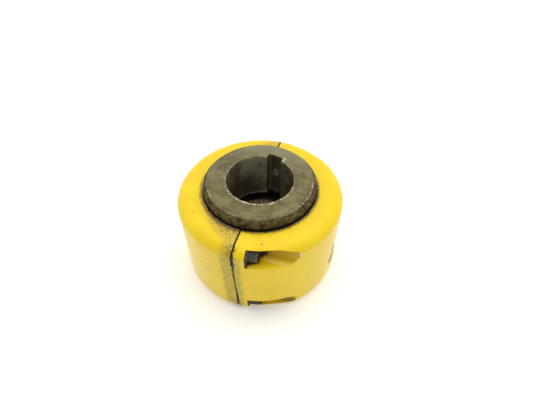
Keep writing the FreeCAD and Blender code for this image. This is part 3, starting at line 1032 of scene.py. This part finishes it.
def cover_paint(name, side):
    """Safety yellow over cast metal, dirty along the seam; side is 1 for the half with pockets."""
    s = Shader(name)
    drift = s.times(s.step(s.z, DRIFT_START, DRIFT_END), SEAM_DRIFT)
    out = s.times(s.minus(s.x, drift), side)
    from_middle = s.absolute(s.minus(s.z, COVER_MIDDLE))
    tone = s.noise(24, 3, 0.5)
    s.colour = s.mix(s.step(tone, 0.35, 0.68), (0.8, 0.56, 0.006), (0.84, 0.605, 0.008))
    mottled = s.noise(2.4, 5, 0.65)
    s.coat((mottled, 0.5, 0.75), (0.7, 0.43, 0.004), 0.14)
    film, ragged = seam_film(s, side, from_middle)
    flat = s.step(from_middle, COVER_HALF - 4.5, COVER_HALF - 1.5)
    if side < 0:
        handling_dirt(s, out, from_middle)
    # dark grit where the shoulder meets the seam
    rim_near = s.both((s.r, 56, 60), (from_middle, COVER_HALF - 8, COVER_HALF - 5.5))
    gritty = s.patches(0.48, 0.54, 1.2, 5, 0.8)
    close = s.step(s.plus(out, s.times(ragged, 5)), 9.5 if side < 0 else 3, 1)
    s.coat(s.both(rim_near, gritty, close), (0.09, 0.06, 0.02), 0.85)
    # grease and painted shade round the hub
    greasy_and_gap_shade = hub_grease_and_shade(s, side, from_middle, flat)
    # faint arcs on the flat end
    arcs = s.both((s.turning(0.8), 0.56, 0.7), s.patches(0.5, 0.62, 14, 4, 0.6), flat)
    s.coat(arcs, (0.6, 0.4, 0.05), 0.35)
    joint_line(s, out)
    # small specks and chips
    speck = s.both(s.patches(0.745, 0.775, 0.9, 2, 0.5), s.patches(0.54, 0.64, 15, 2))
    s.coat(speck, (0.16, 0.1, 0.03), 0.7)
    for turn, height, size, tint in paint_marks(side):
        s.coat(s.spot(skin_point(turn, height), size), tint, 0.85)
    dull = s.either(film, greasy_and_gap_shade)
    if side > 0:
        # rust and painted shadow in the pockets; dirt, painted shade and a painted highlight in the label recess
        rust_and_shadow = pocket_dirt_and_shade(s)
        label_dirt_and_light(s)
        dull = s.either(dull, rust_and_shadow)
    unpainted_parts(s, from_middle)
    roughness = s.blend(dull, s.blend(mottled, 0.34, 0.46), 0.75)
    skin_texture = s.noise(1.5, 3, 0.5)
    normal = s.bump(skin_texture, 0.05, 0.35, s.bump(s.noise(0.4, 3, 0.6), 0.012, 0.4))
    sheen = {"Sheen_Weight": 0.4, "Sheen_Roughness": 0.3}
    return s.finish(roughness, 0, normal, Specular_IOR_Level=0.26, **sheen)


def skin_point(turn, height):
    """Point on the outside of the cover at an azimuth in degrees and a height."""
    radius = COVER_R
    if height > COVER_HIGH.z - SHOULDER_AXIAL:
        up = height - COVER_HIGH.z + SHOULDER_R
        radius = COVER_R - SHOULDER_RADIAL + math.sqrt(SHOULDER_R**2 - up**2)
    angle = math.radians(turn)
    return (radius * math.cos(angle), radius * math.sin(angle), height)


def paint_marks(side):
    """Single chips and stains: azimuth in degrees, height, size and colour."""
    dark, grey = (0.07, 0.05, 0.025), (0.5, 0.47, 0.36)
    brown, stain = (0.3, 0.13, 0.05), (0.44, 0.25, 0.02)
    high = COVER_HIGH.z
    if side < 0:
        return [
            (-116.5, 45.5, 0.9, dark),
            (-114.5, 46, 0.6, dark),
            (-110.5, 43, 0.8, dark),
            (-108.5, 47, 0.55, dark),
            (-107.5, 43.5, 0.7, dark),
            (-98, 63, 0.7, dark),
            (-91, 59, 0.9, grey),
            (-90.5, 52.5, 0.7, grey),
            (-135, high, 0.7, brown),
        ]
    return [
        (-71, high, 1, brown),
        (-83.5, 66, 0.9, grey),
        (-88, 46, 0.7, grey),
        (-48.5, high - 5.4, 1.2, dark),
        (-50, high - 4.3, 1, dark),
        (-52, high - 3.5, 0.7, dark),
        (-47.5, high - 10, 0.8, dark),
        (-47, high - 7.5, 1.5, grey),
        (-32.5, high - 7, 1, stain),
        (-35, high - 8, 0.8, stain),
        (-22, high - 6.2, 1, stain),
    ]


def screw_holes(s):
    """1 on the walls of the screw holes, which are bare metal."""
    total = 0
    for _, y, z, seat in cap_places():
        across, up = s.minus(s.y, y), s.minus(s.z, z)
        apart = s.hypot(across, up)
        near = s.step(apart, CLEARANCE_HOLE_R + 0.7, CLEARANCE_HOLE_R + 0.3)
        along = s.step(s.x, -TAPPED_DEPTH - 3, -TAPPED_DEPTH - 1.5)
        along = s.both((s.x, seat - 0.2, seat - 0.6), along)
        total = s.either(s.both(near, along), total)
    return total


def pocket_dirt_and_shade(s):
    """Gold with painted shade deeper in, painted shade under the lower pockets' lips, a painted highlight on the
    crease, and rust with painted shadow in the screw pockets; gives the mask of the rust and shadow.
    """
    total = 0
    for _, y, z, seat in cap_places():
        outward = 1 if y > 0 else -1
        across = s.minus(s.z, z)
        out = s.times(s.y, outward)
        away = s.either(s.minus(abs(y), out), 0)
        apart = s.hypot(across, away)
        inside = s.both((apart, POCKET_R + 0.25, POCKET_R - 0.05), (s.x, seat - 0.6, seat - 0.2))
        inside = s.both(inside, (out, POCKET_R, 2 * POCKET_R))
        # painted shade: the gold darker deeper into the pocket
        deep = s.step(away, 2, 5.5)
        depth_shade = s.mix(deep, (0.86, 0.56, 0.0015), (0.5, 0.3, 0.001))
        s.coat(inside, depth_shade, 0.85)
        if z < COVER_MIDDLE:
            # painted shade under the upper lip of the lower pockets
            shade_line = s.both(inside, (away, 4.6, 6.2), s.patches(0.3, 0.42, 5, 4))
            s.coat(shade_line, (0.1, 0.06, 0.004), 0.6)
        # painted highlight along the crease between the pocket's flat wall and its round end
        crease_highlight = s.both(inside, (away, 0.2, 1.4), (away, 3.2, 1.8))
        crease_highlight = s.both(crease_highlight, (s.x, seat + 8.5, seat + 12))
        s.coat(crease_highlight, (0.95, 0.74, 0.22), 0.55)
        near = s.plus(s.x, s.wobble(5, 2.5, 6, 0.7))
        reach = s.blend(deep, seat + 9.5, seat + 13.5)
        reach = s.blend(s.step(out, 56, 61), reach, seat + 3)
        # rust by the screw seat and painted shadow deeper in, round the screw head
        rust_and_shadow = s.both(inside, (near, reach, s.minus(reach, 3)))
        rust = s.mix(s.patches(0.46, 0.6, 1.4, 5, 0.7), (0.014, 0.008, 0.005), (0.13, 0.03, 0.006))
        rust_and_shadow_tint = s.mix(s.step(away, 1, 3), rust, (0.01, 0.007, 0.004))
        s.coat(rust_and_shadow, rust_and_shadow_tint, 0.97)
        total = s.either(rust_and_shadow, total)
    return total


def label_dirt_and_light(s):
    """Dirt and painted shade in the label recess and its corner, with a painted highlight on the lip round it."""
    up = s.minus(s.z, LABEL_Z)
    apart = s.hypot(s.y, up)
    on_side = s.both((s.x, 30, 40), (s.r, CAVITY_R + 1, CAVITY_R + 2))
    ragged = s.wobble(9, 3, 6, 0.75)
    inside = s.both((apart, LABEL_R + 0.1, LABEL_R - 0.1), on_side)
    # dirt and painted shade on the recess floor
    s.coat(inside, (0.42, 0.3, 0.03), 0.6)
    corner = s.both((s.plus(apart, ragged), LABEL_R - 3.5, LABEL_R - 1), inside)
    lip_highlight = s.both((apart, LABEL_R, LABEL_R + 0.2), (apart, LABEL_R + 0.9, LABEL_R + 0.4), on_side)
    # dirt and painted shade in the corner; painted highlight on the lip
    s.coat(corner, (0.24, 0.18, 0.03), 0.6)
    s.coat(lip_highlight, (0.86, 0.76, 0.42), 0.5)


def screw_steel(name):
    """Dull plated screw steel with dust on top and rust in the corners, and painted shade on the ends of the cap
    screws' heads.
    """
    s = Shader(name)
    blotch = s.noise(2, 5, 0.65)
    s.colour = s.mix(s.step(blotch, 0.35, 0.65), (0.032, 0.03, 0.019), (0.092, 0.088, 0.054))
    s.coat(s.patches(0.55, 0.68, 1.2, 5, 0.7), (0.12, 0.05, 0.018), 0.6)
    # rubbed edges of the cap screws' heads
    seat = cap_places()[0][3]
    top = seat + CAP_HEAD_LENGTH
    ends = s.either((s.x, seat + 1.2, seat + 0.6), (s.x, top - 1.2, top - 0.5))
    ends = s.both(ends, (s.x, seat - 0.3, seat), (s.x, top - 0.3, top - 0.5))
    worn = s.patches(0.36, 0.6, 1, 4, 0.7)
    s.coat(s.both(ends, worn), (0.32, 0.31, 0.21), 0.8)
    # painted shade on the ends of the cap screws' heads, round the socket
    s.coat((s.x, top - 0.5, top - 0.3), (0.012, 0.01, 0.008), 0.85)
    s.coat((s.r, SET_SCREW_POINT + 1.4, SET_SCREW_POINT + 0.8), (0.4, 0.39, 0.33), 0.8)
    roughness = s.blend(blotch, 0.38, 0.62)
    normal = s.bump(s.noise(0.5, 4, 0.6), 0.03, 0.5)
    return s.finish(roughness, 0.4, normal, Specular_IOR_Level=0.35)


def cushion_rubber(name):
    """Matt black moulded rubber with a little dust."""
    s = Shader(name)
    dust = s.patches(0.5, 0.75, 2.5, 5, 0.65)
    s.colour = s.mix(s.times(dust, 0.5), (0.018, 0.018, 0.017), (0.075, 0.068, 0.055))
    normal = s.bump(s.noise(0.6, 4, 0.6), 0.04, 0.5)
    return s.finish(s.blend(dust, 0.55, 0.85), 0, normal)


def pale_floor(name):
    """Almost white table top."""
    s = Shader(name)
    s.colour = s.mix(s.noise(60, 4), (0.93, 0.93, 0.92), (0.96, 0.96, 0.95))
    glow = {"Emission_Color": (1, 1, 1), "Emission_Strength": 0.14}
    return s.finish(0.6, Specular_IOR_Level=0.2, **glow)


# ---------------------------------------------------------------- scene

# Camera: its place in the plane through the cover's front seam, turned by VIEW_TURN
VIEW_TURN = math.radians(19.0)
CAMERA_BACK = 205.2
CAMERA_ABOVE_HUB = 196.1
CAMERA_DOWN = math.radians(46.98)
CAMERA_PAN = math.radians(1.34)
CAMERA_ROLL = math.radians(-0.65)
LENS_MM = 25.46
SENSOR_MM = 36.0

# Light
SKY_BRIGHT = 1.02
SKY_DIM = 0.21
SKY_DIM_UP = 0.9
SKY_DIM_START = 0.35
SKY_DIM_FULL = 0.95
OVERHEAD_WATTS = 7.0
OVERHEAD_SIZE = 1.3
OVERHEAD_PLACE = Vector((0.1, 0.05, 0.9))
OVERHEAD_TARGET = Vector((0, 0, 0.04))
FLOOR_HALF = 3.0
FLOOR_DROP = 0.0001


def add_camera():
    """Wide-angle camera close above the part."""
    ahead = Vector((
        math.sin(CAMERA_PAN) * math.cos(CAMERA_DOWN),
        math.cos(CAMERA_PAN) * math.cos(CAMERA_DOWN),
        -math.sin(CAMERA_DOWN),
    ))
    right = Vector((math.cos(CAMERA_PAN), -math.sin(CAMERA_PAN), 0))
    up = right.cross(ahead)
    rolled_right = right * math.cos(CAMERA_ROLL) + up * math.sin(CAMERA_ROLL)
    rolled_up = up * math.cos(CAMERA_ROLL) - right * math.sin(CAMERA_ROLL)
    turn = Matrix((rolled_right, rolled_up, -ahead)).transposed().to_4x4()
    turn.translation = Vector((0, -CAMERA_BACK, TOP_Z + CAMERA_ABOVE_HUB)) * MM
    data = bpy.data.cameras.new("camera")
    data.lens = LENS_MM
    data.sensor_width = SENSOR_MM
    data.clip_start = 0.01
    camera = bpy.data.objects.new("camera", data)
    camera.matrix_world = Matrix.Rotation(VIEW_TURN, 4, "Z") @ turn
    bpy.context.scene.collection.objects.link(camera)
    bpy.context.scene.camera = camera


def add_overhead_light():
    """Square soft light above the part."""
    data = bpy.data.lights.new("overhead", "AREA")
    data.size = OVERHEAD_SIZE
    data.energy = OVERHEAD_WATTS
    lamp = bpy.data.objects.new("overhead", data)
    lamp.location = OVERHEAD_PLACE
    lamp.rotation_euler = (OVERHEAD_TARGET - OVERHEAD_PLACE).to_track_quat("-Z", "Y").to_euler()
    bpy.context.scene.collection.objects.link(lamp)


def add_sky():
    """White surroundings, dimmer on the camera's side and overhead of it."""
    world = bpy.data.worlds.new("world")
    world.use_nodes = True
    tree = world.node_tree
    place = tree.nodes.new("ShaderNodeTexCoord")
    facing = tree.nodes.new("ShaderNodeVectorMath")
    facing.operation = "DOT_PRODUCT"
    dim = Vector((math.sin(VIEW_TURN), -math.cos(VIEW_TURN), SKY_DIM_UP)).normalized()
    facing.inputs[1].default_value = dim
    tree.links.new(place.outputs["Generated"], facing.inputs[0])
    level = tree.nodes.new("ShaderNodeMapRange")
    level.interpolation_type = "SMOOTHSTEP"
    ends = {"From Min": SKY_DIM_START, "From Max": SKY_DIM_FULL, "To Min": SKY_BRIGHT, "To Max": SKY_DIM}
    for name, value in ends.items():
        level.inputs[name].default_value = value
    tree.links.new(facing.outputs["Value"], level.inputs["Value"])
    tree.links.new(level.outputs["Result"], tree.nodes["Background"].inputs["Strength"])
    tree.nodes["Background"].inputs["Color"].default_value = (1, 1, 1, 1)
    bpy.context.scene.world = world


def add_studio():
    """Soft light and a pale floor."""
    add_sky()
    add_overhead_light()
    floor = bpy.data.meshes.new("floor")
    corners = [(x * FLOOR_HALF, y * FLOOR_HALF, 0) for x, y in ((-1, -1), (1, -1), (1, 1), (-1, 1))]
    floor.from_pydata(corners, [], [(0, 1, 2, 3)])
    plane = bpy.data.objects.new("floor", floor)
    plane.location.z = -FLOOR_DROP
    floor.materials.append(pale_floor("floor_white"))
    bpy.context.scene.collection.objects.link(plane)
    bpy.context.scene.view_settings.view_transform = "Standard"


def add_pieces():
    """Every visible piece, each standing for its CAD node."""
    screws = screw_steel("screw_steel")
    rubber = cushion_rubber("cushion_rubber")
    for end, length, top, side, seed in HUBS:
        hub = make_hub(f"hub_{end}_detail", length, SET_SCREW_DEPTH[end], seed)
        steel = hub_steel(f"hub_steel_{end}", top, side)
        finish_piece(hub if side > 0 else turned_over(hub), steel, f"hub_{end}", f"hub_{end}")
    for end, length, _, side, _ in HUBS:
        node = f"set_screw_{end}"
        screw = make_set_screw(f"{node}_detail", SET_SCREW_DEPTH[end], length)
        finish_piece(screw if side > 0 else turned_over(screw), screws, node, node)
    pocketed = cover_paint("cover_yellow_pocketed", 1)
    finish_piece(make_pocketed_half(), pocketed, "cover_pocketed", "cover_half_pocketed")
    tapped = cover_paint("cover_yellow_tapped", -1)
    finish_piece(make_tapped_half(), tapped, "cover_tapped", "cover_half_tapped")
    for place in CAP_PLACES:
        node = f"cap_screw_{place}"
        screw = make_cap_screw(node)
        screw.name = f"{node}_detail"
        finish_piece(screw, screws, node, node)
    for number in range(1, 2 * JAWS + 1):
        node = f"load_cushion_{number}"
        cushion = make_cushion(node)
        cushion.name = f"{node}_detail"
        finish_piece(cushion, rubber, "hub_lower", node)


add_studio()
add_camera()
add_pieces()
